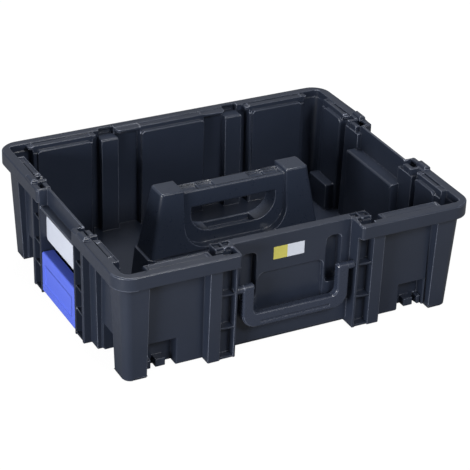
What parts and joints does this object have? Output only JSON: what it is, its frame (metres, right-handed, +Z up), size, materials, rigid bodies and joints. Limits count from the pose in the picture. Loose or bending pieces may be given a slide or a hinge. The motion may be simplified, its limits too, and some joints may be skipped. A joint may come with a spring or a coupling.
{
  "type": "tool storage caddy",
  "caption": "Open stacking tool tray with hollow ribbed walls, a central carry handle on a raised hump, a folding front handle and sprung side latches.",
  "frame": {"origin": "under the middle of the tray, at the bottom of its feet", "axes": "+X to the right as seen from the front, +Y to the back, +Z up; the folding handle is on the -Y side"},
  "size_m": [0.442, 0.357, 0.1425],
  "materials": {
    "black_plastic": "fine moulded grain",
    "blue_plastic": "satin",
    "pale_plate": "satin",
    "steel": "zinc plated",
    "label": "printed film"
  },
  "bodies": {
    "tray": {"tub": "black_plastic", "carry_handle": "black_plastic", "handle_screws": "steel", "latch_pin_left": "steel", "latch_pin_right": "steel", "latch_spring_left": "steel", "latch_spring_right": "steel", "side_plate_left": "pale_plate", "side_plate_right": "pale_plate", "front_label": "label"},
    "bail": {"bail_handle": "black_plastic"},
    "left_latch": {"latch_left": "blue_plastic"},
    "right_latch": {"latch_right": "blue_plastic"}
  },
  "joints": [
    {"name": "bail_hinge", "type": "hinge", "parent": "tray", "child": "bail", "pos_m": [0, -0.163, 0.085], "axis": [-1, 0, 0], "range_deg": [0, 95]},
    {"name": "left_latch_hinge", "type": "hinge", "parent": "tray", "child": "left_latch", "pos_m": [-0.205, 0, 0.038], "axis": [0, 1, 0], "range_deg": [0, 8], "stiffness_Nm_per_rad": 1.5, "deforming": ["latch_spring_left"]},
    {"name": "right_latch_hinge", "type": "hinge", "parent": "tray", "child": "right_latch", "pos_m": [0.205, 0, 0.038], "axis": [0, -1, 0], "range_deg": [0, 8], "stiffness_Nm_per_rad": 1.5, "deforming": ["latch_spring_right"]}
  ]
}
